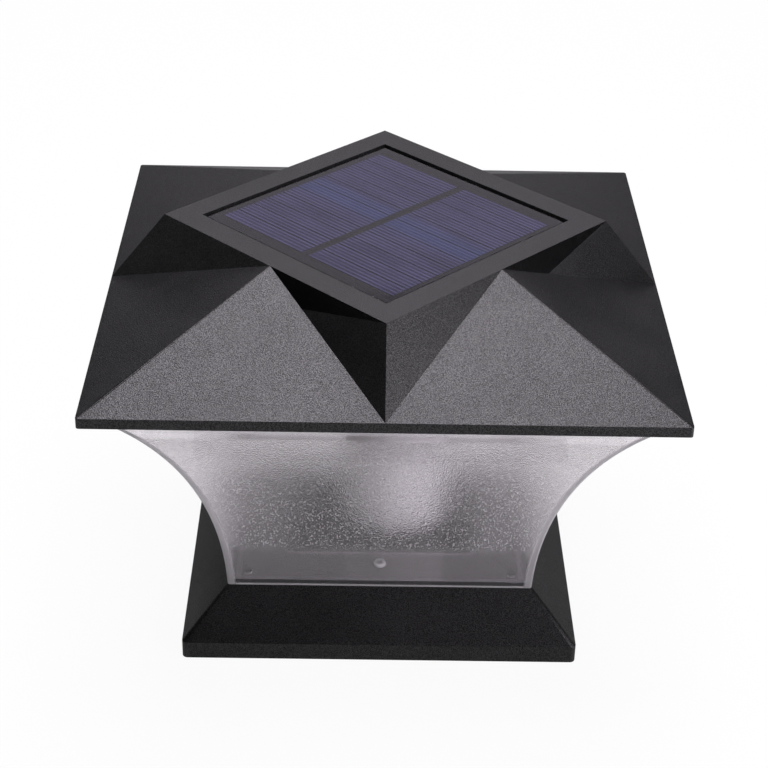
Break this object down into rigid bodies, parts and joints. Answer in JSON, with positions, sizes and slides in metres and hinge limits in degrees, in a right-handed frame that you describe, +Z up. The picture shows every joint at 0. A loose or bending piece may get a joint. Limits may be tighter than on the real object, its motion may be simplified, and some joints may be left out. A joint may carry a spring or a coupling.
{
  "type": "solar pillar lamp",
  "caption": "Square pillar-top solar lamp: hipped black roof with a diamond solar panel, flared clear shade, white light tube and sloping square foot.",
  "frame": {"origin": "centre of the foot's underside", "axes": "+Z up out of the post, -Y towards the front of the lamp, +X to the right seen from the front"},
  "size_m": [0.25, 0.25, 0.181],
  "materials": {
    "black_plastic": "fine moulded grain",
    "clear_plastic": "clear with a rain-textured inner band",
    "seal": "matt",
    "steel": "bright plated",
    "white_plastic": "opal, semi-gloss",
    "panel_board": "dark laminate board",
    "cell": "dark blue silicon",
    "panel_face": "clear, smooth",
    "foam": "foam tape",
    "metal_board": "white coated metal board",
    "light_chip": "yellow phosphor",
    "battery": "shrink wrap",
    "contact": "nickel plated",
    "circuit_board": "green solder mask",
    "black_part": "moulded",
    "copper": "enamelled copper winding",
    "can": "sleeved can",
    "socket": "moulded",
    "lead": "smooth jacket",
    "button": "smooth"
  },
  "bodies": {
    "lamp_base": {"base_housing": "black_plastic", "shade": "clear_plastic", "shade_seal": "seal", "shade_screws": "steel"},
    "lamp_head": {"roof_cap": "black_plastic", "panel_tape": "foam", "panel_board": "panel_board", "solar_cells": "cell", "panel_laminate": "panel_face", "head_plate": "black_plastic", "head_plate_screws": "steel", "mouth_seal": "seal", "diffuser_tube": "white_plastic", "diffuser_ring": "black_plastic", "diffuser_screws": "steel", "led_holder": "white_plastic", "led_board": "metal_board", "led_chips": "light_chip", "battery_cell": "battery", "battery_spring": "contact", "battery_contact": "contact", "battery_cover": "black_plastic", "battery_cover_screws": "steel", "control_board": "circuit_board", "control_board_screws": "steel", "board_chips": "black_part", "board_coil": "copper", "board_capacitors": "can", "board_sockets": "socket", "switch_housing": "black_part", "switch_nut": "black_part", "switch_terminals": "contact", "panel_lead": "lead", "led_lead": "lead", "battery_lead": "lead", "switch_lead": "lead"},
    "power_button": {"power_button": "button"}
  },
  "joints": [
    {"name": "head_lift", "type": "slide", "parent": "lamp_base", "child": "lamp_head", "axis": [0, 0, 1], "range_m": [0, 0.13]},
    {"name": "button_press", "type": "slide", "parent": "lamp_head", "child": "power_button", "axis": [0, 0, 1], "range_m": [0, 0.002], "stiffness_N_per_m": 1000}
  ]
}
